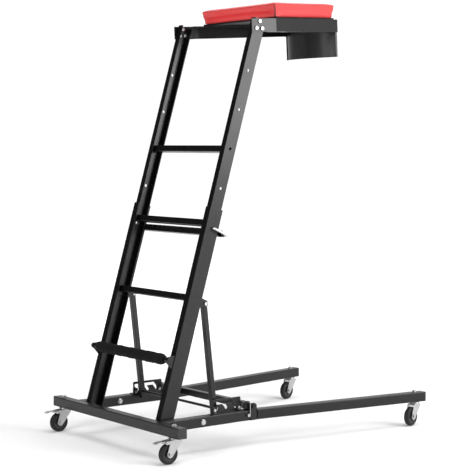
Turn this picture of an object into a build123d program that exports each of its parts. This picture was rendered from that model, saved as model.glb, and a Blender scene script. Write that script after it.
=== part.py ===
"""Rolling topside creeper: a leaning telescopic ladder on a four-caster base, with a padded chest deck.

Millimetres, +Z up, +Y from the front crossbar towards the rear legs, +X to the right-hand rail.
The origin is on the floor, under the middle of the whole object.
"""
import math
import os
from build123d import *

os.makedirs("parts", exist_ok=True)

# ---- driving dimensions -------------------------------------------------------------------------
TUBE = 38.0                 # square tube of the base, outside
WALL = 2.0                  # its wall
FRAME_Z = 113.0             # centre height of every base tube
FRAME_BOTTOM = FRAME_Z - TUBE / 2
FRAME_TOP = FRAME_Z + TUBE / 2

CROSSBAR_LENGTH = 840.0
CROSSBAR_Y = -565.0
RAIL_X = 276.0              # centre line of each side rail
RAIL_REAR_Y = -162.0

PIVOT_Y = -512.7            # hinge line of the ladder's feet
PIVOT_Z = 116.3
LEAN = 16.6                 # degrees back from upright
LADDER_HALF = 250.0         # outer face of the lower channels
LOWER_DEPTH = 58.0
LOWER_FLANGE = 30.0
LOWER_FOOT = -13.0          # ends of the channels, measured along the ladder from the hinge line
LOWER_TOP = 808.0
SHEET = 3.0                 # channel wall
NEST_GAP = 1.0              # running gap between the two sections
UPPER_DEPTH = LOWER_DEPTH - 2 * (SHEET + NEST_GAP)
UPPER_HALF = LADDER_HALF - SHEET - NEST_GAP
UPPER_FLANGE = 26.0
UPPER_FOOT = 440.0
UPPER_TOP = 1543.0
RUNG = 25.0
RUNG_PITCH = 285.0
FIRST_RUNG = 465.0
LOCK_ALONG = 732.0
HOLE_PITCH = 152.4
LOCK_R = 4.5

STRUT = 20.0
STRUT_X = 236.0
STRUT_TOP_ALONG = 458.0
STRUT_TOP_DEPTH = 50.0
NOTCHES_Y = (-288.5, -245.5, -202.5)
NOTCH_Z = 147.0

ROLLER_ALONG = 224.0
ROLLER_DEPTH = -54.0
ROLLER_R = 21.0

LEG_SPLAY = 8.4             # degrees outwards
LEG_PIVOT_Y = -146.0
LEG_PIVOT_Z = 145.0
LEG_END_Y = 650.0

WHEEL_R = 37.5
WHEEL_WIDTH = 22.0
TRAIL = 26.0
FRONT_CASTER = (372.0, CROSSBAR_Y)
REAR_CASTER_Y = 610.0
REAR_CASTER = (RAIL_X + (REAR_CASTER_Y - LEG_PIVOT_Y) * math.tan(math.radians(LEG_SPLAY)), REAR_CASTER_Y)
REAR_SWIVEL = 13.0          # how far the parked rear casters are turned

DECK_TILT = 3.2             # degrees, rising to the rear
DECK_BEND_Y = 3.0           # where the arms start to close in
DECK_BOTTOM_Z = 1552.0      # underside of the arms there
ARM_HEIGHT = 50.0
ARM_FLANGE = 25.0
ARM_REAR_Y = 396.0
ARM_REAR_HALF = 157.0
PAD_HALF_FRONT = 238.0
PAD_FRONT_Y = 8.0
PAD_HALF_REAR = 157.0
PAD_REAR_Y = 392.0
PAD_THICK = 52.0
BOARD_THICK = 6.0
GUARD_DROP = 98.0
GUARD_BOW = 55.0

PIN_GAP = 0.05              # radial running clearance on pins and axles


# ---- small helpers ------------------------------------------------------------------------------
def block(x0, x1, y0, y1, z0, z1):
    """A box between two corners."""
    return Pos((x0 + x1) / 2, (y0 + y1) / 2, (z0 + z1) / 2) * Box(x1 - x0, y1 - y0, z1 - z0)


def rod_x(radius, x0, x1, y=0.0, z=0.0):
    """A round bar along X."""
    return Pos((x0 + x1) / 2, y, z) * Rot(Y=90) * Cylinder(radius, abs(x1 - x0))


def rod_z(radius, z0, z1, x=0.0, y=0.0):
    """A round bar along Z."""
    return Pos(x, y, (z0 + z1) / 2) * Cylinder(radius, z1 - z0)


def hex_x(across, x0, x1, y=0.0, z=0.0):
    """A hexagon head or nut along X, with its corners rounded off by a turned cone."""
    head = extrude(Plane.YZ.offset(x0) * RegularPolygon(across / math.sqrt(3), 6), x1 - x0)
    return Pos(0, y, z) * (head & rod_x(across * 0.56, x0, x1))


def hex_z(across, z0, z1, x=0.0, y=0.0):
    """A hexagon nut along Z."""
    nut = extrude(Plane.XY.offset(z0) * RegularPolygon(across / math.sqrt(3), 6), z1 - z0)
    return Pos(x, y, 0) * (nut & rod_z(across * 0.56, z0, z1))


def bolt_x(radius, head_x, nut_x, y, z, across, washer=0.0):
    """A bolt along X, from its head outside head_x to its nut outside nut_x, as one solid."""
    way = math.copysign(radius, head_x - nut_x)
    bolt = rod_x(radius, nut_x - 1.6 * way, head_x + 0.5 * way, y, z)
    bolt += hex_x(across, head_x, head_x + 1.1 * way, y, z)
    bolt += hex_x(across, nut_x, nut_x - 1.3 * way, y, z)
    if washer:
        bolt += rod_x(washer, head_x, head_x + 0.3 * way, y, z)
        bolt += rod_x(washer, nut_x, nut_x - 0.3 * way, y, z)
    return bolt


def square_tube(size, wall, length, corner=3.0):
    """A square tube along Y from y = 0, centred on X and Z."""
    outer = extrude(Plane.XZ * RectangleRounded(size, size, corner), -length)
    inner_corner = max(corner - wall, 0.5)
    inner = extrude(Plane.XZ * RectangleRounded(size - 2 * wall, size - 2 * wall, inner_corner), -length)
    return outer - inner


def plate_x(points, x0, x1):
    """A flat plate whose outline is given in (y, z), between two X planes."""
    return extrude(Plane.YZ.offset(x0) * make_face(Polyline(*points, close=True)), x1 - x0)


def hull_plate_x(circles, x0, x1):
    """A plate with the outline of a belt round the given (y, z, radius) circles, in their order."""
    sketch = make_hull(ShapeList(edge for y, z, r in circles for edge in (Pos(y, z) * Circle(r)).edges()))
    return extrude(Plane.YZ.offset(x0) * sketch, x1 - x0)


def mirrored(shape):
    """The same piece on the left-hand side."""
    return mirror(shape, about=Plane.YZ)


def on_ladder(shape):
    """From ladder coordinates (x, depth behind the hinge line, distance up the ladder) to the object."""
    return Pos(0, PIVOT_Y, PIVOT_Z) * Rot(X=-LEAN) * shape


def on_deck(shape):
    """From deck coordinates (z = 0 under the arms, y as in the object) to the tilted deck."""
    return Pos(0, DECK_BEND_Y, DECK_BOTTOM_Z) * Rot(X=DECK_TILT) * Pos(0, -DECK_BEND_Y, 0) * shape


def save(name, *shapes):
    """Write one node; several separate pieces of one kind stay separate solids."""
    solids = [solid for shape in shapes for solid in shape.solids()]
    piece = solids[0] if len(solids) == 1 else Compound(children=solids)
    export_step(piece, f"parts/{name}.step")


# ---- front crossbar, side rails and the stubs that join them -----------------------------------
crossbar = Pos(-CROSSBAR_LENGTH / 2, CROSSBAR_Y, FRAME_Z) * Rot(Z=-90) * square_tube(TUBE, WALL, CROSSBAR_LENGTH)
STEM_R = 6.0
for side in (-1, 1):
    crossbar -= rod_z(STEM_R, FRAME_BOTTOM - 1, FRAME_TOP + 1, side * FRONT_CASTER[0], CROSSBAR_Y)
save("front_crossbar", crossbar)

CAP_PLUG = TUBE - 2 * WALL - 0.4
cap = extrude(Plane.YZ * RectangleRounded(TUBE, TUBE, 3), 3.0)
cap += extrude(Plane.YZ * RectangleRounded(CAP_PLUG, CAP_PLUG, 1), -12.0)
right_cap = Pos(CROSSBAR_LENGTH / 2, CROSSBAR_Y, FRAME_Z) * cap
save("crossbar_end_caps", right_cap, mirrored(right_cap))

RAIL_FRONT_Y = CROSSBAR_Y + TUBE / 2
PIVOT_BOLT_R = 5.0
JOINT_BOLT_Y = -380.0
STUB_REAR_Y = JOINT_BOLT_Y + 18
STUB = TUBE - 2 * WALL - 0.4
LINCH_Y = -172.0
LINCH_Z = 115.0
LINCH_R = 4.0

rail_cuts = (
    rod_x(PIVOT_BOLT_R, RAIL_X - 30, RAIL_X + 30, PIVOT_Y, PIVOT_Z)
    + rod_x(PIVOT_BOLT_R, RAIL_X - 30, RAIL_X + 30, JOINT_BOLT_Y, FRAME_Z)
    + rod_x(LINCH_R + PIN_GAP, RAIL_X - 30, RAIL_X + 30, LINCH_Y, LINCH_Z)
)
rail = Pos(RAIL_X, RAIL_FRONT_Y, FRAME_Z) * square_tube(TUBE, WALL, RAIL_REAR_Y - RAIL_FRONT_Y) - rail_cuts
save("side_rail_right", rail)
save("side_rail_left", mirrored(rail))
stub = Pos(RAIL_X, RAIL_FRONT_Y, FRAME_Z) * square_tube(STUB, WALL, STUB_REAR_Y - RAIL_FRONT_Y, 1.5) - rail_cuts
save("rail_joining_stubs", stub, mirrored(stub))


joint_bolt = bolt_x(PIVOT_BOLT_R, RAIL_X + TUBE / 2, RAIL_X - TUBE / 2, JOINT_BOLT_Y, FRAME_Z, 17, 10.5)

# ---- leg hinge brackets and the rear cross tube -------------------------------------------------
BRACKET = 3.0
BRACKET_REAR_Y = -131.0
BRACKET_TOP_Z = 159.0
LEG_BOLT_R = 5.0
outline = Pos((RAIL_REAR_Y + BRACKET_REAR_Y) / 2, (FRAME_BOTTOM + BRACKET_TOP_Z) / 2) * Rectangle(
    BRACKET_REAR_Y - RAIL_REAR_Y, BRACKET_TOP_Z - FRAME_BOTTOM
)
corner = outline.vertices().sort_by(lambda v: v.X + v.Y)[-1]
side_face = fillet(corner, 14)
half = TUBE / 2
side_plate = extrude(Plane.YZ.offset(RAIL_X + half) * side_face, BRACKET)
hinge_bracket = (
    side_plate
    + Pos(-TUBE - BRACKET, 0, 0) * side_plate
    + block(RAIL_X - half - BRACKET, RAIL_X + half + BRACKET,
            RAIL_REAR_Y, RAIL_REAR_Y + BRACKET, FRAME_BOTTOM, BRACKET_TOP_Z)
    + Pos(RAIL_X, RAIL_REAR_Y - 50, FRAME_Z) * square_tube(STUB, WALL, 50, 1.5)
)
hinge_bracket -= rod_x(LEG_BOLT_R, RAIL_X - 30, RAIL_X + 30, LEG_PIVOT_Y, LEG_PIVOT_Z)
hinge_bracket -= rod_x(LINCH_R + PIN_GAP, RAIL_X - 30, RAIL_X + 30, LINCH_Y, LINCH_Z)
save("leg_bracket_right", hinge_bracket)
save("leg_bracket_left", mirrored(hinge_bracket))

REAR_TUBE = 25.0
rear_half = RAIL_X - half - BRACKET
rear_tube = Pos(-rear_half, LEG_PIVOT_Y, LEG_PIVOT_Z) * Rot(Z=-90) * square_tube(REAR_TUBE, WALL, 2 * rear_half, 2)
save("rear_cross_tube", rear_tube)

leg_bolt = bolt_x(LEG_BOLT_R, RAIL_X + half + BRACKET, RAIL_X - half - BRACKET, LEG_PIVOT_Y, LEG_PIVOT_Z, 15)

# ---- notched brackets that hold the struts' feet ------------------------------------------------
NOTCH_X = RAIL_X - half
NOTCH_FRONT_Y = -315.0
NOTCH_REAR_Y = -179.0
NOTCH_TOP_Z = 182.0
RUN_Z = 168.0
NOTCH_LEAN = 16.0
SLOT_R = 5.5
CLEAT_BOLTS_Y = (-303.0, -190.0)
CLEAT_BOLT_Z = 143.0
CLEAT_BOLT_R = 4.0


def slot_x(y0, z0, y1, z1):
    """A round-ended slot through the bracket plate."""
    return hull_plate_x([(y0, z0, SLOT_R), (y1, z1, SLOT_R)], NOTCH_X - 1, NOTCH_X + BRACKET + 1)


notch_plate = block(NOTCH_X, NOTCH_X + BRACKET, NOTCH_FRONT_Y, NOTCH_REAR_Y, FRAME_TOP, NOTCH_TOP_Z)
notch_plate = fillet(notch_plate.edges().filter_by(Axis.X).group_by(Axis.Z)[-1], 4)
notch_plate -= slot_x(NOTCHES_Y[0] - NOTCH_LEAN, RUN_Z, NOTCHES_Y[-1] - NOTCH_LEAN, RUN_Z)
for notch_y in NOTCHES_Y:
    notch_plate -= slot_x(notch_y - NOTCH_LEAN, RUN_Z, notch_y, NOTCH_Z)
cleats = []
cleat_bolts = []
for bolt_y in CLEAT_BOLTS_Y:
    bore = rod_x(CLEAT_BOLT_R, NOTCH_X - 5, NOTCH_X + 15, bolt_y, CLEAT_BOLT_Z)
    notch_plate -= bore
    x_in = NOTCH_X + BRACKET
    upright = block(x_in, x_in + BRACKET, bolt_y - 11, bolt_y + 11, FRAME_TOP, FRAME_TOP + 24)
    foot = block(x_in, x_in + 24, bolt_y - 11, bolt_y + 11, FRAME_TOP, FRAME_TOP + BRACKET)
    cleats.append(upright + foot - bore)
    cleat_bolts.append(bolt_x(CLEAT_BOLT_R, x_in + BRACKET, NOTCH_X, bolt_y, CLEAT_BOLT_Z, 11))
save("notched_plate_right", notch_plate)
save("notched_plate_left", mirrored(notch_plate))
save("notched_plate_cleats", *cleats, *[mirrored(c) for c in cleats])
base_bolts = [joint_bolt, *cleat_bolts]
save("base_bolts", *base_bolts, *[mirrored(b) for b in base_bolts])

# ---- ladder hinge bolts, with a spacer between channel and rail ---------------------------------
ladder_bolt = (
    bolt_x(PIVOT_BOLT_R, RAIL_X + half, LADDER_HALF - SHEET - 0.3, PIVOT_Y, PIVOT_Z, 17)
    + rod_x(9.0, LADDER_HALF + 0.3, RAIL_X - half, PIVOT_Y, PIVOT_Z)
)
save("hinge_bolts", ladder_bolt, leg_bolt, mirrored(ladder_bolt), mirrored(leg_bolt))

# ---- linch pins with their wire bails -----------------------------------------------------------
LINCH_HEAD_X = RAIL_X + half + 0.5
BAIL_X = LINCH_HEAD_X + 5.0
BAIL_R = 50.0
BAIL_WIRE = 1.5
LINCH_HEAD_R = 6.0
linch = (
    rod_x(LINCH_R, RAIL_X - half - 4, LINCH_HEAD_X + 1, LINCH_Y, LINCH_Z)
    + rod_x(LINCH_HEAD_R, LINCH_HEAD_X, LINCH_HEAD_X + 9, LINCH_Y, LINCH_Z)
)
bail_bore = Pos(BAIL_X, LINCH_Y, LINCH_Z) * Rot(X=90) * Cylinder(BAIL_WIRE + PIN_GAP, 40)
linch -= bail_bore
save("linch_pins", linch, mirrored(linch))

arm_y = LINCH_Y + LINCH_HEAD_R + 2.0
bail_path = FilletPolyline(
    (BAIL_X, LINCH_Y - LINCH_HEAD_R - 0.5, LINCH_Z),
    (BAIL_X, arm_y, LINCH_Z),
    (BAIL_X, arm_y, LINCH_Z + BAIL_R),
    (BAIL_X - BAIL_R, arm_y, LINCH_Z + BAIL_R),
    (BAIL_X - BAIL_R, arm_y, LINCH_Z + 2),
    radius=[1.8, 6.0, 30.0],
)
bail = sweep(Plane(origin=bail_path @ 0, z_dir=bail_path % 0) * Circle(BAIL_WIRE), bail_path)
save("linch_bail_right", bail)
save("linch_bail_left", mirrored(bail))

# ---- rear legs, drawn straight along Y and then splayed -----------------------------------------
LEG_FRONT_Y = LEG_PIVOT_Y + 20
LEG_CAP_Y = LEG_END_Y - 3


def leg_bar(width, corner):
    """A solid square bar along the splayed line of the right-hand leg, from the hinge backwards."""
    bar = extrude(Plane.XZ * RectangleRounded(width, width, corner), LEG_PIVOT_Y - LEG_END_Y - TUBE)
    return Pos(RAIL_X, LEG_PIVOT_Y, FRAME_Z) * Rot(Z=-LEG_SPLAY) * bar


def leg_span(y0, y1):
    """The space round the right-hand leg between two Y planes."""
    return block(RAIL_X - TUBE, RAIL_X + 6 * TUBE, y0, y1, 0, 2 * FRAME_Z)


leg_tube = (leg_bar(TUBE, 3) - leg_bar(TUBE - 2 * WALL, 1)) & leg_span(LEG_FRONT_Y, LEG_CAP_Y)
leg_tube -= rod_z(STEM_R, FRAME_BOTTOM - 1, FRAME_TOP + 1, *REAR_CASTER)
leg_cap = leg_bar(TUBE, 3) & leg_span(LEG_CAP_Y, LEG_END_Y)
leg_cap += leg_bar(CAP_PLUG, 1) & leg_span(LEG_CAP_Y - 12, LEG_CAP_Y)
EAR = 4.0
ear = plate_x(
    [
        (LEG_PIVOT_Y - 10, LEG_PIVOT_Z),
        (LEG_PIVOT_Y - 4, FRAME_BOTTOM + 6),
        (LEG_FRONT_Y - EAR, FRAME_BOTTOM + 3),
        (LEG_FRONT_Y - EAR, FRAME_TOP - 2),
        (LEG_PIVOT_Y + 10, LEG_PIVOT_Z),
    ],
    0,
    EAR,
) + rod_x(10, 0, EAR, LEG_PIVOT_Y, LEG_PIVOT_Z)
tongue = (
    Pos(RAIL_X - half + 4, 0, 0) * ear
    + Pos(RAIL_X + half - 4 - EAR, 0, 0) * ear
    + block(RAIL_X - half + 1, RAIL_X + half - 1, LEG_FRONT_Y - EAR, LEG_FRONT_Y, FRAME_BOTTOM + 1, FRAME_TOP - 1)
)
tongue -= rod_x(LEG_BOLT_R + PIN_GAP, RAIL_X - 30, RAIL_X + 30, LEG_PIVOT_Y, LEG_PIVOT_Z)
for name, turn in (("right", lambda s: s), ("left", mirrored)):
    save(f"leg_tube_{name}", turn(leg_tube))
    save(f"leg_end_cap_{name}", turn(leg_cap))
    save(f"leg_hinge_tongue_{name}", turn(tongue))

# ---- casters: stem in the tube, swivelling fork, wheel with tyre, brake pedal in front -----------
FORK_TOP = 86.5
FORK_SHEET = 2.5
FORK_INNER = WHEEL_WIDTH / 2 + 2.0
AXLE_R = 4.0
PEDAL_Y = -40.0
PEDAL_Z = 79.0
PEDAL_PIN_R = 2.5

stem = (
    rod_z(STEM_R, FORK_TOP - FORK_SHEET - 4, FRAME_TOP + 8)
    + rod_z(10, FORK_TOP - FORK_SHEET - 4, FORK_TOP - FORK_SHEET - 0.3)
    + rod_z(15, FORK_TOP + 0.3, FRAME_BOTTOM)
    + rod_z(9, FRAME_TOP, FRAME_TOP + 1.5)
    + hex_z(16, FRAME_TOP + 1.5, FRAME_TOP + 6)
)
fork_half = FORK_INNER + FORK_SHEET
fork_outline = [(-20, FORK_TOP - 5, 5), (17, FORK_TOP - 5, 5), (-TRAIL, WHEEL_R, 13)]


def pressed_fork(circles):
    """A fork bent from one sheet, with a rounded outline, open below and at both ends."""
    full = hull_plate_x(circles, -fork_half, fork_half)
    full -= block(-FORK_INNER, FORK_INNER, -80, 80, 0, FORK_TOP - FORK_SHEET)
    full -= rod_z(STEM_R + PIN_GAP, FORK_TOP - 10, FORK_TOP + 10)
    return full - rod_x(AXLE_R, -40, 40, -TRAIL, WHEEL_R)


fork = pressed_fork(fork_outline)
axle = bolt_x(AXLE_R, fork_half, -fork_half, -TRAIL, WHEEL_R, 13)
HUB_R = 25.0
hub_ring = rod_x(HUB_R, -9, 9, -TRAIL, WHEEL_R) - rod_x(20, 2, 12, -TRAIL, WHEEL_R) - rod_x(20, -12, -2, -TRAIL, WHEEL_R)
hub = hub_ring + rod_x(8.5, -FORK_INNER + 0.3, FORK_INNER - 0.3, -TRAIL, WHEEL_R)
hub -= rod_x(AXLE_R + PIN_GAP, -40, 40, -TRAIL, WHEEL_R)
tyre_blank = rod_x(WHEEL_R, -WHEEL_WIDTH / 2, WHEEL_WIDTH / 2, -TRAIL, WHEEL_R)
tyre = fillet(tyre_blank.edges().filter_by(GeomType.CIRCLE), 5) - rod_x(HUB_R, -20, 20, -TRAIL, WHEEL_R)

pedal_pin = rod_x(PEDAL_PIN_R, -fork_half - 1, fork_half + 1, PEDAL_Y, PEDAL_Z)
pedal_ears = pressed_fork([(-16, PEDAL_Z + 1, 6), (PEDAL_Y, PEDAL_Z, 6)])
pedal_ears -= block(-FORK_INNER, FORK_INNER, -80, 80, 0, FORK_TOP + 10)
brake_fork = fork + pedal_ears
brake_fork -= rod_x(PEDAL_PIN_R, -40, 40, PEDAL_Y, PEDAL_Z)
PEDAL_TIP_Y = -650.0 - CROSSBAR_Y
pedal_outline = [
    (PEDAL_Y + 5, PEDAL_Z + 3.0),
    (PEDAL_Y + 5, PEDAL_Z + 5.5),
    (PEDAL_TIP_Y + 14, PEDAL_Z + 5.5),
    (PEDAL_TIP_Y, PEDAL_Z + 1.5),
    (PEDAL_TIP_Y, PEDAL_Z - 1.0),
    (PEDAL_TIP_Y + 14, PEDAL_Z + 3.0),
]
pedal = plate_x(pedal_outline, -FORK_INNER + 2, FORK_INNER - 2)
pedal += rod_x(5.5, -FORK_INNER + 0.5, FORK_INNER - 0.5, PEDAL_Y, PEDAL_Z)
pedal -= rod_x(PEDAL_PIN_R + PIN_GAP, -40, 40, PEDAL_Y, PEDAL_Z)

casters = {
    "front_right": (FRONT_CASTER[0], FRONT_CASTER[1], 0.0),
    "front_left": (-FRONT_CASTER[0], FRONT_CASTER[1], 0.0),
    "rear_right": (REAR_CASTER[0], REAR_CASTER[1], REAR_SWIVEL),
    "rear_left": (-REAR_CASTER[0], REAR_CASTER[1], REAR_SWIVEL),
}
front_stems = []
for name, (x, y, turned) in casters.items():
    place = Pos(x, y, 0) * Rot(Z=turned)
    front = name.startswith("front")
    body_fork = brake_fork if front else fork
    pieces = [place * body_fork, place * axle]
    if front:
        pieces.append(place * pedal_pin)
        front_stems.append(place * stem)
        save(f"brake_pedal_{name}", place * pedal)
    else:
        save(f"caster_stem_{name}", place * stem)
    save(f"caster_fork_{name}", *pieces)
    save(f"caster_hub_{name}", place * hub)
    save(f"caster_tyre_{name}", place * tyre)
save("caster_stems_front", *front_stems)


# ---- ladder, lower section -----------------------------------------------------------------------
def channel(half_width, depth, flange, along0, along1):
    """The right-hand C channel: web outside, flanges turned in towards the middle."""
    web = block(half_width - SHEET, half_width, -depth / 2, depth / 2, along0, along1)
    front = block(half_width - flange, half_width, -depth / 2, -depth / 2 + SHEET, along0, along1)
    rear = block(half_width - flange, half_width, depth / 2 - SHEET, depth / 2, along0, along1)
    return web + front + rear


lower = channel(LADDER_HALF, LOWER_DEPTH, LOWER_FLANGE, LOWER_FOOT, LOWER_TOP)
lower -= rod_x(PIVOT_BOLT_R + PIN_GAP, LADDER_HALF - 10, LADDER_HALF + 10)
lower -= rod_x(LOCK_R + PIN_GAP, LADDER_HALF - 10, LADDER_HALF + 10, 0, LOCK_ALONG)
save("ladder_lower_channel_right", on_ladder(lower))
save("ladder_lower_channel_left", on_ladder(mirrored(lower)))

cross_member = Pos(-LADDER_HALF + 4, LOWER_DEPTH / 2 + RUNG / 2, LOCK_ALONG - 8) * Rot(Z=-90) * square_tube(
    RUNG, WALL, 2 * (LADDER_HALF - 4), 2
)
save("ladder_lower_cross_member", on_ladder(cross_member))

SHAFT_R = 8.0
SHAFT_CAP_R = 11.0
bracket_face = -LOWER_DEPTH / 2 - 2
bracket_x = LADDER_HALF - SHEET
roller_bracket = hull_plate_x(
    [(ROLLER_DEPTH, ROLLER_ALONG, 12), (bracket_face, ROLLER_ALONG + 20, 2), (bracket_face, ROLLER_ALONG - 26, 2)],
    bracket_x - SHEET,
    bracket_x,
) - rod_x(SHAFT_R, bracket_x - 5, bracket_x + 5, ROLLER_DEPTH, ROLLER_ALONG)
save("roller_brackets", on_ladder(roller_bracket), on_ladder(mirrored(roller_bracket)))
shaft = rod_x(SHAFT_R, -bracket_x - 2, bracket_x + 2, ROLLER_DEPTH, ROLLER_ALONG)
for side in (-1, 1):
    shaft += rod_x(SHAFT_CAP_R, side * bracket_x, side * (bracket_x + 11), ROLLER_DEPTH, ROLLER_ALONG)
save("roller_shaft", on_ladder(shaft))

ROLLER_HALF = 225.0
ROLLER_TAPER = 20.0
roller_face = make_face(
    Polyline(
        (-ROLLER_HALF, SHAFT_R + PIN_GAP),
        (-ROLLER_HALF, ROLLER_R - 9),
        (-ROLLER_HALF + ROLLER_TAPER, ROLLER_R),
        (ROLLER_HALF - ROLLER_TAPER, ROLLER_R),
        (ROLLER_HALF, ROLLER_R - 9),
        (ROLLER_HALF, SHAFT_R + PIN_GAP),
        close=True,
    )
)
roller = Pos(0, ROLLER_DEPTH, ROLLER_ALONG) * revolve(Plane.XY * roller_face, Axis.X)
save("foot_roller", on_ladder(roller))

LUG_GAP = STRUT / 2 + 1.0
LUG_R = 12.0
STRUT_BOLT_R = 4.0
lug_cheek = hull_plate_x(
    [(STRUT_TOP_DEPTH, STRUT_TOP_ALONG, LUG_R), (LOWER_DEPTH / 2 + 4, STRUT_TOP_ALONG + 12, 4),
     (LOWER_DEPTH / 2 + 4, STRUT_TOP_ALONG - 12, 4)],
    STRUT_X + LUG_GAP,
    STRUT_X + LUG_GAP + SHEET,
)
lug = (
    lug_cheek
    + Pos(-2 * LUG_GAP - SHEET, 0, 0) * lug_cheek
    + block(STRUT_X - LUG_GAP - SHEET, STRUT_X + LUG_GAP + SHEET, LOWER_DEPTH / 2, LOWER_DEPTH / 2 + SHEET,
            STRUT_TOP_ALONG - 16, STRUT_TOP_ALONG + 16)
    - rod_x(STRUT_BOLT_R, 200, 260, STRUT_TOP_DEPTH, STRUT_TOP_ALONG)
)
strut_bolt = bolt_x(
    STRUT_BOLT_R, STRUT_X + LUG_GAP + SHEET, STRUT_X - LUG_GAP - SHEET, STRUT_TOP_DEPTH, STRUT_TOP_ALONG, 13
)
save("strut_lugs", on_ladder(lug), on_ladder(mirrored(lug)))
save("strut_pivot_bolts", on_ladder(strut_bolt), on_ladder(mirrored(strut_bolt)))

# ---- struts and the rod that joins their feet ----------------------------------------------------
lean = math.radians(LEAN)
top_y = PIVOT_Y + STRUT_TOP_ALONG * math.sin(lean) + STRUT_TOP_DEPTH * math.cos(lean)
top_z = PIVOT_Z + STRUT_TOP_ALONG * math.cos(lean) - STRUT_TOP_DEPTH * math.sin(lean)
foot_y, foot_z = NOTCHES_Y[0], NOTCH_Z
strut_length = math.hypot(top_y - foot_y, top_z - foot_z)
strut_angle = math.degrees(math.atan2(foot_y - top_y, top_z - foot_z))
STRUT_OVER_TOP = 12.0
STRUT_BELOW_ROD = 26.0
CROSS_ROD_R = 5.0
strut = Pos(STRUT_X, 0, -strut_length - STRUT_BELOW_ROD) * Rot(X=90) * square_tube(
    STRUT, 1.8, strut_length + STRUT_BELOW_ROD + STRUT_OVER_TOP, 2
)
strut -= rod_x(STRUT_BOLT_R + PIN_GAP, 200, 260)
strut -= rod_x(CROSS_ROD_R, 200, 260, 0, -strut_length)
strut = Pos(0, top_y, top_z) * Rot(X=strut_angle) * strut
save("struts", strut, mirrored(strut))
rod_end = STRUT_X + STRUT / 2
cross_rod = rod_x(CROSS_ROD_R, -rod_end - 1, rod_end + 1, foot_y, foot_z)
for side in (-1, 1):
    cross_rod += rod_x(9, side * rod_end, side * (rod_end + 4), foot_y, foot_z)
save("strut_cross_rod", cross_rod)

# ---- ladder, upper section ------------------------------------------------------------------------
upper = channel(UPPER_HALF, UPPER_DEPTH, UPPER_FLANGE, UPPER_FOOT, UPPER_TOP)
for step in range(5):
    upper -= rod_x(LOCK_R + 1.0, UPPER_HALF - 10, UPPER_HALF + 10, 0, LOCK_ALONG + step * HOLE_PITCH)
ARM_BOLTS = ((-5.2, 1533.0), (-12.6, 1504.0), (13.2, 1511.0))
ARM_BOLT_R = 4.0
for depth, along in ARM_BOLTS:
    upper -= rod_x(ARM_BOLT_R, UPPER_HALF - 10, UPPER_HALF + 10, depth, along)
save("ladder_upper_channel_right", on_ladder(upper))
save("ladder_upper_channel_left", on_ladder(mirrored(upper)))

rung_half = UPPER_HALF - SHEET
rungs = [
    on_ladder(
        Pos(-rung_half, 0, FIRST_RUNG + step * RUNG_PITCH) * Rot(Z=-90) * square_tube(RUNG, WALL, 2 * rung_half, 3)
    )
    for step in range(3)
]
save("ladder_rungs", *rungs)

# ---- lock rod: a bent bar whose tip enters the lower channel's hole, with a sleeved grip behind ---
HANDLE_DEPTH = 68.0
HANDLE_DROP = 10.0
ROD_TIP_X = LADDER_HALF - SHEET + 0.2
ROD_BEND_X = 266.0
SLEEVE_R = 6.5
lock_path = FilletPolyline(
    (ROD_TIP_X, 0, LOCK_ALONG),
    (ROD_BEND_X, 0, LOCK_ALONG),
    (ROD_BEND_X, HANDLE_DEPTH, LOCK_ALONG - HANDLE_DROP),
    (-LADDER_HALF + 15, HANDLE_DEPTH, LOCK_ALONG - HANDLE_DROP),
    radius=[9.0, 9.0],
)
lock_rod = sweep(Plane(origin=lock_path @ 0, z_dir=lock_path % 0) * Circle(LOCK_R), lock_path)
save("lock_rod", on_ladder(lock_rod))
sleeve_bar = rod_x(SLEEVE_R, -LADDER_HALF + 12, LADDER_HALF - 6, HANDLE_DEPTH, LOCK_ALONG - HANDLE_DROP)
sleeve_bore = rod_x(LOCK_R, -LADDER_HALF + 15, LADDER_HALF, HANDLE_DEPTH, LOCK_ALONG - HANDLE_DROP)
save("lock_rod_sleeve", on_ladder(sleeve_bar - sleeve_bore))

# ---- deck arms: straight past the ladder, then closing in towards the rear ------------------------
arm_front = DECK_BEND_Y - 118.0
closing = math.atan2(UPPER_HALF + SHEET - ARM_REAR_HALF, ARM_REAR_Y - DECK_BEND_Y)


def arm_strip(width, y0, y1, z0, z1):
    """A band of the given width, measured inwards from the arm's outer face, between two Y planes."""
    front = arm_front - 1.0
    arm_x = UPPER_HALF + SHEET
    kink = width * math.tan(closing / 2)
    rear_x = ARM_REAR_HALF - width / math.cos(closing)
    outer = [(arm_x, front), (arm_x, DECK_BEND_Y), (ARM_REAR_HALF, ARM_REAR_Y)]
    inner = [(rear_x, ARM_REAR_Y), (arm_x - width, DECK_BEND_Y - kink), (arm_x - width, front)]
    band = extrude(Plane.XY.offset(z0) * make_face(Polyline(*outer, *inner, close=True)), z1 - z0)
    return band & block(0, 400, y0, y1, z0, z1)


FLANGE_FRONT_Y = -32.0
FLANGE_REAR_Y = 366.0
arm = (
    arm_strip(SHEET, arm_front, ARM_REAR_Y, 0, ARM_HEIGHT)
    + arm_strip(ARM_FLANGE, FLANGE_FRONT_Y, FLANGE_REAR_Y, 0, SHEET)
    + arm_strip(ARM_FLANGE, FLANGE_FRONT_Y, FLANGE_REAR_Y, ARM_HEIGHT - SHEET, ARM_HEIGHT)
)
arm = on_deck(arm)
for depth, along in ARM_BOLTS:
    arm -= on_ladder(rod_x(ARM_BOLT_R, UPPER_HALF - 10, UPPER_HALF + 10, depth, along))
save("deck_arm_right", arm)
save("deck_arm_left", mirrored(arm))

arm_bolts = [
    on_ladder(bolt_x(ARM_BOLT_R, UPPER_HALF + SHEET, UPPER_HALF - SHEET, depth, along, 13)) for depth, along in ARM_BOLTS
]
save("deck_arm_bolts", *arm_bolts, *[mirrored(b) for b in arm_bolts])


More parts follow.
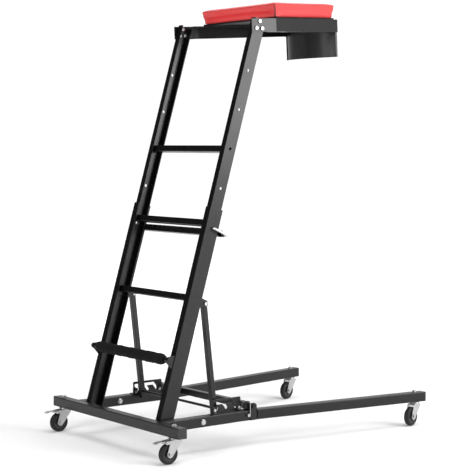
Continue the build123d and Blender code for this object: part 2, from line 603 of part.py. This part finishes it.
# ---- chest pad on its board, and the curved guard under the rear of the deck -----------------------
def deck_slab(front_half, rear_half, front_y, rear_y, z0, z1, corner):
    """A tapered slab with rounded corners in plan."""
    face = make_face(
        Polyline((-front_half, front_y), (front_half, front_y), (rear_half, rear_y), (-rear_half, rear_y), close=True)
    )
    return extrude(Plane.XY.offset(z0) * fillet(face.vertices(), corner), z1 - z0)


BOARD_INSET = 6.0
board = deck_slab(PAD_HALF_FRONT - BOARD_INSET, PAD_HALF_REAR - BOARD_INSET, PAD_FRONT_Y + BOARD_INSET,
                  PAD_REAR_Y - BOARD_INSET, ARM_HEIGHT, ARM_HEIGHT + BOARD_THICK, 10)
save("pad_board", on_deck(board))
pad_z = ARM_HEIGHT + BOARD_THICK
pad = deck_slab(PAD_HALF_FRONT, PAD_HALF_REAR, PAD_FRONT_Y, PAD_REAR_Y, pad_z, pad_z + PAD_THICK, 12)
save("chest_pad", on_deck(pad))

GUARD_SHEET = 2.0
chord = ARM_REAR_HALF - SHEET - 1.0
guard_y = ARM_REAR_Y - 4.0
guard_r = (chord**2 + GUARD_BOW**2) / (2 * GUARD_BOW)
ring_centre_y = guard_y - GUARD_BOW + guard_r
ring = rod_z(guard_r, -GUARD_DROP, ARM_HEIGHT - SHEET, 0, ring_centre_y)
ring -= rod_z(guard_r - GUARD_SHEET, -GUARD_DROP - 1, ARM_HEIGHT, 0, ring_centre_y)
guard = ring & block(-chord, chord, guard_y - GUARD_BOW - 5, guard_y, -GUARD_DROP, ARM_HEIGHT - SHEET)
for side in (-1, 1):
    low, high = sorted((side * chord, side * (chord - GUARD_SHEET)))
    guard += block(low, high, guard_y - 6, guard_y + 3, -GUARD_DROP, ARM_HEIGHT - SHEET)
save("deck_guard", on_deck(guard))
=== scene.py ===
import math

import bpy
import numpy as np
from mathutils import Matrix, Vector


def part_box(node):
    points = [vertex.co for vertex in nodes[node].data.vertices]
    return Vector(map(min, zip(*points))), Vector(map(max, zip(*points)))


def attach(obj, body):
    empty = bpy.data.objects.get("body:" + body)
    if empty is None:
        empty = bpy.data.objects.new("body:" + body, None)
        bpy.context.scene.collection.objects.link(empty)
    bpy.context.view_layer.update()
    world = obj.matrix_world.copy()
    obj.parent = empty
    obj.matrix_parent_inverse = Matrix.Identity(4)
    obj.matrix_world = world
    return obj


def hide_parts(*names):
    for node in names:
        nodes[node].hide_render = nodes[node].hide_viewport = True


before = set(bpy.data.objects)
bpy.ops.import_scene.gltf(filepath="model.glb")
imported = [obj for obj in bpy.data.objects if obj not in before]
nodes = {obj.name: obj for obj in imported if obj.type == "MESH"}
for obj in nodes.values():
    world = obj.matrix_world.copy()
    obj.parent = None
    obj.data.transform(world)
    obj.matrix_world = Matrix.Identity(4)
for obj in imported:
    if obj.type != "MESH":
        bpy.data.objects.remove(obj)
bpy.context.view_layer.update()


# ---- Painted steelwork ---------------------------------------------------------------------------
# The base tubes, the ladder's channels and rungs, the struts, the deck's arms and the guard are bent or
# sawn from mild steel, welded, and powder-coated satin black in one go. The coat pools very slightly,
# so it has a faint orange peel, and rounds off every edge by about a millimetre.
class Socket:
    """A node's output that takes part in sums: each operation on it adds one Math node."""

    def __init__(self, output):
        self.output = output
        self.tree = output.id_data

    def maths(self, operation, *values):
        return add_node(self.tree, "ShaderNodeMath", {"operation": operation}, dict(enumerate(values)))

    def __add__(self, other):
        return self.maths("ADD", self, other)

    def __rsub__(self, other):
        return self.maths("SUBTRACT", other, self)

    def __mul__(self, other):
        return self.maths("MULTIPLY", self, other)

    def __pow__(self, other):
        return self.maths("POWER", self, other)

    def limit(self):
        """The value held between 0 and 1."""
        return add_node(self.tree, "ShaderNodeClamp", {}, {"Value": self})

    __radd__ = __add__
    __rmul__ = __mul__


def put(tree, socket, value):
    """Gives a socket its number or colour, or a link from another node's output."""
    if isinstance(value, Socket):
        tree.links.new(value.output, socket)
    else:
        socket.default_value = value


def add_node(tree, kind, settings, values, out=0):
    """Adds a node, sets its settings first and then its sockets, and returns one output."""
    node = tree.nodes.new(kind)
    for name, setting in settings.items():
        if name == "stops":
            for stop, (place, colour) in zip(node.color_ramp.elements, setting):
                stop.position, stop.color = place, colour
        else:
            setattr(node, name, setting)
    for name, value in values.items():
        put(tree, node.inputs[name], value)
    return Socket(node.outputs[out])


class Finish:
    """A material with one Principled shader, whose pattern lies in object coordinates, in metres."""

    def __init__(self, name, **plain):
        self.material = bpy.data.materials.new(name)
        self.material.use_nodes = True
        self.tree = self.material.node_tree
        self.shader = self.tree.nodes["Principled BSDF"]
        self.place = self.node("ShaderNodeTexCoord", out=3)
        for socket, value in plain.items():
            self.set(socket.replace("_", " "), value)

    def node(self, kind, settings=None, values=None, out=0):
        return add_node(self.tree, kind, settings or {}, values or {}, out)

    def set(self, socket, value):
        put(self.tree, self.shader.inputs[socket], value)

    def noise(self, scale, detail=2.0, stretch=None):
        """Noise from 0 to 1 with so many cells a metre, drawn out along an axis by a stretch."""
        where = self.place
        if stretch:
            where = self.node("ShaderNodeMapping", {}, {"Vector": where, "Scale": stretch})
        return self.node("ShaderNodeTexNoise", {}, {"Vector": where, "Scale": scale, "Detail": detail})

    def mix(self, share, first, second):
        """The first colour where share is 0 and the second where it is 1."""
        return self.node("ShaderNodeMix", {"data_type": "RGBA"}, {0: share, 6: first, 7: second}, out=2)

    def relief(self, height, depth, edge=None):
        """Raises the surface by height times depth, in metres, and rounds its edges to a radius."""
        values = {"Height": height, "Distance": depth, "Strength": 1.0}
        if edge:
            values["Normal"] = self.node("ShaderNodeBevel", {"samples": 6}, {"Radius": edge})
        self.set("Normal", self.node("ShaderNodeBump", {}, values))

    def upward(self):
        """1 on faces that look up, 0 on upright and hanging ones."""
        normal = self.node("ShaderNodeNewGeometry", out=1)
        return self.node("ShaderNodeSeparateXYZ", {}, {0: normal}, out=2).limit()


paint = Finish("black_powder_coat", Roughness=0.4, IOR=1.42)
peel = paint.noise(420.0, 3.0)
drift = paint.noise(7.0, 4.0)
dust = (paint.noise(60.0, 6.0) * paint.upward()) ** 2
paint.set("Base Color", paint.mix(dust * 0.25, (0.0032, 0.0032, 0.0034, 1), (0.05, 0.048, 0.045, 1)))
paint.set("Roughness", 0.24 + drift * 0.10 + dust * 0.2)
paint.relief(peel, 0.00004, edge=0.0011)

painted = [
    "front_crossbar", "side_rail_right", "side_rail_left", "rail_joining_stubs", "leg_bracket_right",
    "leg_bracket_left", "rear_cross_tube", "notched_plate_right", "notched_plate_left",
    "notched_plate_cleats", "hinge_bolts", "leg_tube_right", "leg_tube_left", "leg_hinge_tongue_right",
    "leg_hinge_tongue_left", "ladder_lower_channel_right", "ladder_lower_channel_left",
    "ladder_lower_cross_member", "roller_brackets", "roller_shaft", "strut_lugs", "struts",
    "strut_cross_rod", "ladder_upper_channel_right", "ladder_upper_channel_left", "ladder_rungs",
    "deck_arm_right", "deck_arm_left", "deck_guard",
]


def coat(finish, *names):
    """Gives the named steel pieces one finish all over."""
    for name in names:
        nodes[name].data.materials.clear()
        nodes[name].data.materials.append(finish.material)


coat(paint, *painted)


# ---- Weld beads ----------------------------------------------------------------------------------
# The rungs and the rear cross tube are welded all round before painting. Each bead is a small rounded
# fillet with the ripples of the weld pool, under the same black coat.
LEAN = math.radians(16.6)
LADDER_FOOT = np.array([0.0, -0.5127, 0.1163])
TUBE_HALF = 0.0125
RUNG_END_X = 0.2428
RUNG_DISTANCES = (0.465, 0.750, 1.035)
CROSS_TUBE_END_X, CROSS_TUBE_Y, CROSS_TUBE_Z = 0.2538, -0.146, 0.145


def on_ladder(points):
    """Points given as (x, depth behind the hinge line, distance up the ladder), turned back by the lean."""
    x, depth, along = np.moveaxis(points, -1, 0)
    y = depth * math.cos(LEAN) + along * math.sin(LEAN)
    z = along * math.cos(LEAN) - depth * math.sin(LEAN)
    return np.stack([x, y, z], -1) + LADDER_FOOT


def make_piece(name, points, finish, body):
    """A smooth mesh from a grid of points that joins up to its own start in both directions."""
    rows, columns = points.shape[:2]
    a, b = np.meshgrid(np.arange(rows), np.arange(columns), indexing="ij")
    row, next_row = a * columns, (a + 1) % rows * columns
    next_b = (b + 1) % columns
    quads = np.stack([row + b, next_row + b, next_row + next_b, row + next_b], -1)
    mesh = bpy.data.meshes.new(name)
    mesh.from_pydata(points.reshape(-1, 3).tolist(), [], quads.reshape(-1, 4).tolist())
    mesh.polygons.foreach_set("use_smooth", np.ones(len(mesh.polygons), bool))
    mesh.materials.append(finish.material)
    piece = bpy.data.objects.new(name, mesh)
    bpy.context.scene.collection.objects.link(piece)
    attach(piece, body)
    return piece


def weld(half, bead=0.0019, turns=120):
    """A bead round a square of half-width half in the (second, third) plane, at first = 0.

    The middle line is the square whose larger coordinate is half. The round section swells by a tenth
    with the ripples, and its angle runs once round the middle line."""
    t = np.linspace(0, 2 * np.pi, turns, endpoint=False)[:, None]
    section = np.linspace(0, 2 * np.pi, 8, endpoint=False)[None, :]
    round_t = np.stack(np.broadcast_arrays(0 * t, np.cos(t), np.sin(t)), -1)
    square = round_t * (half / np.maximum(abs(np.cos(t)), abs(np.sin(t))))[..., None]
    size = bead * (1 + 0.1 * np.sin(turns / 3 * t))
    sideways = np.stack(np.broadcast_arrays(size * np.sin(section), 0 * section * t, 0 * section * t), -1)
    return square + round_t * (size * np.cos(section))[..., None] + sideways


rung_beads = [
    on_ladder(weld(TUBE_HALF) * (side, 1, 1) + (side * RUNG_END_X, 0, along))
    for along in RUNG_DISTANCES
    for side in (1, -1)
]
for number, bead in enumerate(rung_beads):
    make_piece(f"rung_weld_{number}", bead, paint, "ladder_upper")
for side, word in ((1, "right"), (-1, "left")):
    bead = weld(TUBE_HALF) * (side, 1, 1) + (side * CROSS_TUBE_END_X, CROSS_TUBE_Y, CROSS_TUBE_Z)
    make_piece(f"cross_tube_weld_{word}", bead, paint, "base")


# ---- Zinc-plated hardware ------------------------------------------------------------------------
# Bolts, linch pins, wire bails, caster stems, forks and brake pedals are pressed or turned steel with a
# bright zinc plate. The plate is cloudy and a little streaked along the way the sheet was rolled.
zinc = Finish("bright_zinc", Metallic=1.0)
cloud = zinc.noise(90.0, 5.0)
streak = zinc.noise(40.0, 3.0, stretch=(12.0, 12.0, 1.0))
zinc.set("Base Color", zinc.mix(cloud, (0.38, 0.38, 0.39, 1), (0.56, 0.56, 0.55, 1)))
zinc.set("Roughness", 0.24 + cloud * 0.12 + streak * 0.1)
zinc.relief(streak, 0.00003, edge=0.0006)
coat(
    zinc, "base_bolts", "linch_pins", "linch_bail_right", "linch_bail_left", "caster_stems_front",
    "caster_stem_rear_right", "caster_stem_rear_left", "caster_fork_front_right", "caster_fork_front_left",
    "caster_fork_rear_right", "caster_fork_rear_left", "brake_pedal_front_right", "brake_pedal_front_left",
    "strut_pivot_bolts", "deck_arm_bolts",
)


# ---- Moulded end caps ----------------------------------------------------------------------------
# The open ends of the crossbar and the legs are closed with push-in polyethylene caps, moulded black
# with a fine spark-eroded texture.
cap_plastic = Finish("moulded_cap_plastic", Roughness=0.5)
spark = cap_plastic.noise(900.0, 2.0)
cap_plastic.set("Base Color", cap_plastic.mix(spark, (0.012, 0.012, 0.012, 1), (0.022, 0.022, 0.023, 1)))
cap_plastic.set("Roughness", 0.42 + spark * 0.2)
cap_plastic.relief(spark, 0.00006, edge=0.0014)
coat(cap_plastic, "crossbar_end_caps", "leg_end_cap_right", "leg_end_cap_left")


# ---- Casters: swivel races, tyres and wheel centres ----------------------------------------------
# Each caster turns on a pressed ball race between the fork and the tube. The wheel is a ribbed centre
# of dark nylon with a black rubber tyre moulded round it, slightly crowned, with a lip at each side.
rubber = Finish("tyre_rubber", Roughness=0.6, Specular_IOR_Level=0.35)
scuff = rubber.noise(45.0, 6.0)
grain = rubber.noise(700.0, 2.0)
rubber.set("Base Color", rubber.mix(scuff, (0.005, 0.005, 0.005, 1), (0.016, 0.0155, 0.015, 1)))
rubber.set("Roughness", 0.48 + scuff * 0.25)
rubber.relief(grain, 0.00008)

nylon = Finish("wheel_nylon", Roughness=0.4)
swirl = nylon.noise(120.0, 4.0)
nylon.set("Base Color", nylon.mix(swirl, (0.025, 0.025, 0.026, 1), (0.05, 0.05, 0.052, 1)))
nylon.set("Roughness", 0.32 + swirl * 0.14)
nylon.relief(swirl, 0.00004)


def smooth_profile(points, count):
    """A closed outline resampled to count points, evenly along its length."""
    outline = np.array(list(points) + [points[0]], float)
    length = np.concatenate([[0], np.cumsum(np.hypot(*np.diff(outline, axis=0).T))])
    even = np.linspace(0, length[-1], count, endpoint=False)
    return np.stack([np.interp(even, length, outline[:, 0]), np.interp(even, length, outline[:, 1])], -1)


def turned(profile, centre, axle, side, up, steps=72):
    """A turned piece: each profile point (distance along the axle, radius) goes once round the axle.

    Its place is centre + distance * axle + radius * (cos t * side + sin t * up)."""
    t = np.linspace(0, 2 * np.pi, steps, endpoint=False)[:, None, None]
    distance, radius = profile[None, :, 0:1], profile[None, :, 1:2]
    around = np.cos(t) * np.array(side) + np.sin(t) * np.array(up)
    return np.array(centre) + distance * np.array(axle) + radius * around


def tyre_profile():
    """Half-width 11 mm: a crowned tread, rounded shoulders, a small lip, and the seat on the centre."""
    a = np.linspace(-1, 1, 25)
    tread = np.stack([0.0105 * a, 0.0374 - 0.0042 * abs(a) ** 4], -1)
    lip = [(0.0108, 0.0316), (0.0109, 0.0290), (0.0100, 0.0284), (0.0098, 0.0262), (0.0092, 0.0251)]
    mirrored_lip = [(-x, r) for x, r in reversed(lip)]
    return smooth_profile([*map(tuple, tread), *lip, *mirrored_lip], 64)


def wheel_centre(centre, axle, side, steps=90):
    """The ribbed centre: over radius r and angle t, half-thickness is the rim's near 25 mm, the boss's
    near 8 mm, and a thin web between them that swells into five ribs as a power of cos(5t / 2)."""
    t = np.linspace(0, 2 * np.pi, steps, endpoint=False)[:, None]
    r = np.linspace(0.0045, 0.0249, 34)[None, :]
    rim = 1 / (1 + np.exp(-(r - 0.0208) / 0.0003))
    boss = 1 / (1 + np.exp((r - 0.0086) / 0.0003))
    rib = np.cos(2.5 * t) ** 16
    web = 0.0022 + 0.0042 * rib
    half_thickness = web * (1 - rim) * (1 - boss) + 0.0091 * rim + 0.0124 * boss
    near = np.stack(np.broadcast_arrays(half_thickness, r, t), -1)
    far = near[:, ::-1] * (-1, 1, 1)
    both = np.concatenate([near, far], 1)
    around = np.cos(both[..., 2:3]) * np.array(side) + np.sin(both[..., 2:3]) * np.array([0, 0, 1.0])
    return np.array(centre) + both[..., 0:1] * np.array(axle) + both[..., 1:2] * around


race_profile = smooth_profile(
    [(0.0870, 0.0125), (0.0870, 0.0185), (0.0880, 0.0197), (0.0898, 0.0200), (0.0902, 0.0192),
     (0.0906, 0.0200), (0.0924, 0.0196), (0.0934, 0.0184), (0.0937, 0.0125)],
    56,
)
# Each caster: its stem's place, or None where the stem is a node of its own, its turn in degrees, and
# the body that holds it.
casters = {
    "front_right": ((0.372, -0.565), 0.0, "base"),
    "front_left": ((-0.372, -0.565), 0.0, "base"),
    "rear_right": (None, 13.0, "leg_right"),
    "rear_left": (None, 13.0, "leg_left"),
}
for name, (stem, turn, holder) in casters.items():
    turn = math.radians(turn)
    axle, side = (math.cos(turn), math.sin(turn), 0.0), (-math.sin(turn), math.cos(turn), 0.0)
    low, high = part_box(f"caster_tyre_{name}")
    centre = tuple((low + high) / 2)
    if stem is None:
        low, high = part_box(f"caster_stem_{name}")
        stem = ((low.x + high.x) / 2, (low.y + high.y) / 2)
    race = turned(race_profile, (*stem, 0.0), (0, 0, 1.0), (1.0, 0, 0), (0, 1.0, 0))
    make_piece(f"swivel_race_{name}", race, zinc, holder)
    tyre_points = turned(tyre_profile(), centre, axle, side, (0, 0, 1.0))
    tyre = make_piece(f"tyre_{name}", tyre_points, rubber, f"wheel_{name}")
    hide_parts(f"caster_tyre_{name}")
    hub_points = wheel_centre(centre, axle, side)
    hub = make_piece(f"wheel_centre_{name}", hub_points, nylon, f"wheel_{name}")
    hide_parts(f"caster_hub_{name}")


# ---- Lock rod and its grip -----------------------------------------------------------------------
# A bent bar of bright drawn steel. Its straight part behind the ladder carries a rubber grip, slid on
# before the last bend, with fine moulded rings.
bright_bar = Finish("bright_drawn_bar", Metallic=1.0)
draw_lines = bright_bar.noise(30.0, 4.0, stretch=(1.0, 40.0, 40.0))
bright_bar.set("Base Color", bright_bar.mix(draw_lines, (0.62, 0.62, 0.63, 1), (0.76, 0.76, 0.77, 1)))
bright_bar.set("Roughness", 0.12 + draw_lines * 0.14)
bright_bar.relief(draw_lines, 0.00001)
coat(bright_bar, "lock_rod")

grip_rubber = Finish("grip_rubber", Roughness=0.7)
bloom = grip_rubber.noise(160.0, 5.0)
grip_rubber.set("Base Color", grip_rubber.mix(bloom, (0.005, 0.005, 0.005, 1), (0.014, 0.014, 0.014, 1)))
grip_rubber.set("Roughness", 0.6 + bloom * 0.2)
grip_rubber.relief(bloom, 0.00005)

low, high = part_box("lock_rod_sleeve")
grip_half = (high.x - low.x) / 2
grip_x = np.linspace(-grip_half, grip_half, 560)
end_round = np.clip((grip_half - abs(grip_x)) / 0.002, 0, 1) ** 0.5
grip_wall = 0.0014 + 0.0003 * np.sin(grip_x / 0.0055 * 2 * np.pi)
grip_outside = np.stack([grip_x, 0.0048 + grip_wall * end_round], -1)
grip_bore = np.array([[grip_half, 0.00455], [-grip_half, 0.00455]])
grip_profile = np.concatenate([grip_outside, grip_bore])
grip_points = turned(
    grip_profile, tuple((low + high) / 2), (1.0, 0, 0), (0, 1.0, 0), (0, 0, 1.0), steps=28,
)
grip = make_piece("lock_rod_grip", grip_points, grip_rubber, "lock")
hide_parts("lock_rod_sleeve")


# ---- Foot roller ---------------------------------------------------------------------------------
# A sleeve of black closed-cell foam turns loosely on the shaft across the front of the ladder. Its ends
# are trimmed to a cone, and the foam is a little uneven along its length.
foam = Finish("roller_foam", Roughness=0.9, Specular_IOR_Level=0.15)
pores = foam.node("ShaderNodeTexVoronoi", {}, {"Vector": foam.place, "Scale": 900.0})
rub = foam.noise(25.0, 6.0)
foam.set("Base Color", foam.mix(rub, (0.003, 0.003, 0.003, 1), (0.009, 0.009, 0.0095, 1)))
foam.set("Roughness", 0.78 + rub * 0.18)
foam.relief(pores + rub * 0.6, 0.0002)

low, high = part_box("foot_roller")
roller_half = (high.x - low.x) / 2
roller_x = np.linspace(-roller_half, roller_half, 240)
inset = roller_half - abs(roller_x)
trim = np.clip(inset / 0.020, 0, 1)
uneven = 0.00035 * (np.sin(roller_x * 61) + np.sin(roller_x * 97 + 1.3) + np.sin(roller_x * 173 + 0.4))
roller_outside = np.stack([roller_x, 0.0116 + 0.0088 * trim ** 0.8 + uneven * trim], -1)
end_face = np.stack([np.full(6, roller_half), np.linspace(0.0112, 0.0088, 6)], -1)
roller_bore = np.array([[roller_half - 0.001, 0.0083], [0.0, 0.0083], [0.001 - roller_half, 0.0083]])
roller_profile = np.concatenate([roller_outside, end_face, roller_bore, end_face[::-1] * (-1, 1)])
roller_points = turned(
    roller_profile, tuple((low + high) / 2), (1.0, 0, 0), (0, 1.0, 0), (0, 0, 1.0), steps=64,
)
roller = make_piece("roller_sleeve", roller_points, foam, "roller")
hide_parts("foot_roller")


# ---- Board under the cushion ---------------------------------------------------------------------
# The cushion is built on a sawn plywood board, stained black, that sits on the arms' top flanges.
board = Finish("stained_board", Roughness=0.6, Specular_IOR_Level=0.2)
fibres = board.noise(45.0, 6.0, stretch=(14.0, 1.0, 14.0))
board.set("Base Color", board.mix(fibres, (0.003, 0.0028, 0.0026, 1), (0.010, 0.009, 0.008, 1)))
board.set("Roughness", 0.5 + fibres * 0.25)
board.relief(fibres, 0.00015)
coat(board, "pad_board")


# ---- Chest cushion -------------------------------------------------------------------------------
# A slab of firm foam in a cover of red vinyl, pulled down round the board so that its sides slope in
# and bulge a little. The side panels are sewn to each other at the four upright corners and to the top
# panel along its edge.
DECK_TILT = math.radians(3.2)
DECK_HINGE = np.array([0.0, 0.003, 1.552])
CUSHION_BOTTOM, CUSHION_TOP = 0.0563, 0.1075
CUSHION_FRONT, CUSHION_REAR = 0.0095, 0.3905
HALF_FRONT, HALF_REAR = 0.2365, 0.1555
SLOPE_IN = 0.011
STUFFING_STEPS = 20


def on_deck(points):
    """Points measured square to the deck, turned up to the deck's tilt."""
    y, z = points[:, 1] - DECK_HINGE[1], points[:, 2]
    turned_y = y * math.cos(DECK_TILT) - z * math.sin(DECK_TILT)
    turned_z = y * math.sin(DECK_TILT) + z * math.cos(DECK_TILT)
    return np.stack([points[:, 0], turned_y, turned_z], -1) + DECK_HINGE


def side_distances(points):
    """How far inside each upright side a point lies, as the sides slope in towards the bottom.

    Columns: front, rear, right, left. A side plane moves in by SLOPE_IN from the top to the bottom."""
    x, y, z = points.T
    drawn_in = SLOPE_IN * (CUSHION_TOP - z) / (CUSHION_TOP - CUSHION_BOTTOM)
    narrowing = (HALF_FRONT - HALF_REAR) / (CUSHION_REAR - CUSHION_FRONT)
    half_width = HALF_FRONT - narrowing * (y - CUSHION_FRONT) - drawn_in
    square_on = 1 / math.hypot(1, narrowing)
    return np.stack(
        [y - CUSHION_FRONT - drawn_in, CUSHION_REAR - drawn_in - y, (half_width - x) * square_on,
         (half_width + x) * square_on], -1,
    )


corners = []
for z, drawn_in in ((CUSHION_BOTTOM, SLOPE_IN), (CUSHION_TOP, 0.0)):
    front, rear = CUSHION_FRONT + drawn_in, CUSHION_REAR - drawn_in
    wide, narrow = HALF_FRONT - drawn_in, HALF_REAR - drawn_in
    corners += [(-wide, front, z), (wide, front, z), (narrow, rear, z), (-narrow, rear, z)]
faces = [(3, 2, 1, 0), (4, 5, 6, 7), (0, 1, 5, 4), (1, 2, 6, 5), (2, 3, 7, 6), (3, 0, 4, 7)]
slab = bpy.data.meshes.new("cushion_slab")
slab.from_pydata(np.array(corners).tolist(), [], faces)
cushion = bpy.data.objects.new("chest_cushion", slab)
bpy.context.scene.collection.objects.link(cushion)
remesh = cushion.modifiers.new("even_mesh", "REMESH")
remesh.mode, remesh.voxel_size = "VOXEL", 0.0052


def bake_mesh(piece):
    """Turns what the modifiers make into the piece's own mesh, with no modifier left."""
    view = bpy.context.evaluated_depsgraph_get()
    made = bpy.data.meshes.new_from_object(piece.evaluated_get(view))
    piece.modifiers.clear()
    piece.data = made


def read_points(mesh):
    """All of a mesh's points, one a row."""
    points = np.zeros(len(mesh.vertices) * 3, np.float32)
    mesh.vertices.foreach_get("co", points)
    return points.reshape(-1, 3).astype(float)


bake_mesh(cushion)
before = read_points(cushion.data)
held = cushion.vertex_groups.new(name="held_on_board")
held.add(np.flatnonzero(before[:, 2] < CUSHION_BOTTOM + 0.003).tolist(), 1.0, "REPLACE")
stuffing = cushion.modifiers.new("stuffing", "CLOTH")
stuffing.settings.use_pressure = True
stuffing.settings.uniform_pressure_force = 4.0
stuffing.settings.vertex_group_mass = "held_on_board"
stuffing.settings.effector_weights.gravity = 0.0
stuffing.point_cache.frame_end = STUFFING_STEPS
for step in range(1, STUFFING_STEPS + 1):
    bpy.context.scene.frame_set(step)
bake_mesh(cushion)
bpy.context.scene.frame_set(1)
after = read_points(cushion.data)
# The foam lets the cover rise most in the middle of a panel, and hardly at all along a sewn edge.
sides = side_distances(before)
from_edge = np.sort(np.concatenate([sides, (CUSHION_TOP - before[:, 2])[:, None]], 1), axis=1)[:, 1]
allowed = 0.0008 + 0.0052 * np.clip(from_edge / 0.03, 0, 1) ** 0.7
moved = after - before
far = np.linalg.norm(moved, axis=1)
moved *= np.minimum(1, allowed / np.maximum(far, 1e-9))[:, None]
after = before + moved
after[:, 2] = np.maximum(after[:, 2], CUSHION_BOTTOM)
cushion.data.vertices.foreach_set("co", after.astype(np.float32).ravel())
finer = cushion.modifiers.new("finer", "SUBSURF")
finer.levels = finer.render_levels = 1
bake_mesh(cushion)

# Sewn seams: a shallow groove along each upright corner, and a finer one just under the top edge. The same
# masks also paint the vinyl darker along the grooves, as painted shade.
points = read_points(cushion.data)
sides = np.abs(side_distances(points))
nearest = np.sort(sides, axis=1)
corner_seam_and_shade = np.exp(-(nearest[:, 1] / 0.0052) ** 2) * np.exp(-(nearest[:, 0] / 0.012) ** 2)
corner_seam_and_shade *= np.clip((CUSHION_TOP + 0.001 - points[:, 2]) / 0.003, 0, 1)
edge_seam_and_shade = np.exp(-((CUSHION_TOP - 0.0035 - points[:, 2]) / 0.0018) ** 2)
edge_seam_and_shade *= np.exp(-(nearest[:, 0] / 0.006) ** 2)
pucker = np.exp(-(nearest[:, 1] / 0.03) ** 2) * np.exp(-(nearest[:, 0] / 0.008) ** 2)
pucker *= np.sin(points[:, 2] / 0.0085 * 2 * np.pi + points[:, 0] * 40)
mesh = cushion.data
normals = np.zeros(len(mesh.vertices) * 3, np.float32)
mesh.vertices.foreach_get("normal", normals)
normals = normals.reshape(-1, 3)
depth = 0.0022 * corner_seam_and_shade + 0.0007 * edge_seam_and_shade + 0.00022 * pucker
points -= normals * depth[:, None]
points[:, 2] = np.maximum(points[:, 2], CUSHION_BOTTOM)
mesh.vertices.foreach_set("co", on_deck(points).astype(np.float32).ravel())
# The seam masks are kept on the mesh to paint shade into the vinyl along the seams.
seam_shade = mesh.attributes.new("seam_shade", "FLOAT", "POINT")
seam_shade.data.foreach_set("value", np.clip(corner_seam_and_shade + 0.35 * edge_seam_and_shade, 0, 1).astype(np.float32))
mesh.polygons.foreach_set("use_smooth", np.ones(len(mesh.polygons), bool))
mesh.update()

vinyl = Finish("red_vinyl", Roughness=0.45, IOR=1.48)
leather_cells = vinyl.node(
    "ShaderNodeTexVoronoi", {"feature": "SMOOTH_F1"}, {"Vector": vinyl.place, "Scale": 620.0},
)
fine_grain = vinyl.noise(1500.0, 2.0)
fade = vinyl.noise(9.0, 4.0)
painted_seam_shade = vinyl.node("ShaderNodeAttribute", {"attribute_name": "seam_shade"}, out=2)
red = vinyl.mix(fade, (0.60, 0.030, 0.031, 1), (0.67, 0.040, 0.042, 1))
red = vinyl.mix((leather_cells * 0.3).limit(), red, (0.52, 0.020, 0.022, 1))
# Along the seams the red is painted near black: painted shade in the sewn grooves.
vinyl.set("Base Color", vinyl.mix((painted_seam_shade * 1.9).limit(), red, (0.09, 0.004, 0.005, 1)))
vinyl.set("Roughness", 0.40 + leather_cells * 0.12 + fade * 0.08)
vinyl.relief(leather_cells + fine_grain * 0.4, 0.00018)
cushion.data.materials.clear()
cushion.data.materials.append(vinyl.material)
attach(cushion, "ladder_upper")
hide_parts("chest_pad")


# ---- Floor, lights and camera --------------------------------------------------------------------
# A pale seamless floor in a white studio. One tall softbox stands to the right and behind, one large
# light hangs overhead, and a third fills from the front.
view_settings = bpy.context.scene.view_settings
view_settings.view_transform = "Standard"
floor_finish = Finish("pale_floor", Roughness=0.85)
floor_tone = floor_finish.noise(1.5, 2.0)
floor_finish.set("Base Color", floor_finish.mix(floor_tone, (0.90, 0.90, 0.90, 1), (0.92, 0.92, 0.92, 1)))
floor_finish.set("Specular IOR Level", 0.1)
# Away from the object the floor brightens by itself to white, so that it runs into the backdrop unseen.
gone = floor_finish.node("ShaderNodeVectorMath", {"operation": "LENGTH"}, {0: floor_finish.place}, out=1)
glow = floor_finish.node("ShaderNodeMapRange", {"interpolation_type": "SMOOTHSTEP"},
                         {"Value": gone, "From Min": 1.1, "From Max": 3.2, "To Min": 0.0, "To Max": 0.75})
floor_finish.set("Emission Color", floor_finish.mix(glow, (0, 0, 0, 1), (1, 1, 1, 1)))
floor_finish.set("Emission Strength", 1.0)
floor_mesh = bpy.data.meshes.new("floor")
reach = 60.0
floor_mesh.from_pydata([(-reach, -reach, 0), (reach, -reach, 0), (reach, reach, 0), (-reach, reach, 0)], [],
                       [(0, 1, 2, 3)])
floor_mesh.materials.append(floor_finish.material)
floor = bpy.data.objects.new("floor", floor_mesh)
bpy.context.scene.collection.objects.link(floor)

world = bpy.data.worlds.new("white_studio")
bpy.context.scene.world = world
world.use_nodes = True
sky = world.node_tree
background = sky.nodes["Background"]
direction = add_node(sky, "ShaderNodeTexCoord", {}, {}, out=0)
backwards = add_node(sky, "ShaderNodeSeparateXYZ", {}, {0: direction}, out=1)
room = add_node(sky, "ShaderNodeMapRange", {"interpolation_type": "SMOOTHSTEP"},
                {"Value": backwards, "From Min": -0.3, "From Max": 0.6, "To Min": 0.03, "To Max": 0.85})
seen = add_node(sky, "ShaderNodeLightPath", {}, {}, out=0)
put(sky, background.inputs["Strength"], room * (1 - seen) + seen * 1.05)
background.inputs["Color"].default_value = (1.0, 1.0, 1.0, 1)


def softbox(name, place, aim, width, height, power):
    """A rectangular light that looks from one point to another."""
    light = bpy.data.lights.new(name, "AREA")
    light.shape, light.size, light.size_y, light.energy = "RECTANGLE", width, height, power
    lamp = bpy.data.objects.new(name, light)
    bpy.context.scene.collection.objects.link(lamp)
    lamp.location = place
    away = [a - b for a, b in zip(aim, place)]
    flat = math.hypot(away[0], away[1])
    lamp.rotation_euler = (math.atan2(flat, -away[2]), 0.0, math.atan2(-away[0], away[1]))
    lamp.visible_camera = False


softbox("side_softbox", (3.7, 2.4, 2.25), (0.0, 0.0, 0.9), 2.2, 2.6, 150.0)
softbox("overhead_light", (0.3, 0.2, 5.2), (0.0, 0.0, 0.0), 4.5, 4.5, 190.0)
softbox("front_fill", (1.6, -5.6, 2.6), (0.0, 0.0, 1.1), 2.6, 2.2, 165.0)

camera = bpy.data.cameras.new("camera")
camera.lens = 110.5
camera.clip_end = 200.0
eye = bpy.data.objects.new("camera", camera)
bpy.context.scene.collection.objects.link(eye)
eye.location = (4.485, -3.494, 1.129)
eye.rotation_euler = (math.radians(86.38), 0.0, math.radians(52.1))
bpy.context.scene.camera = eye
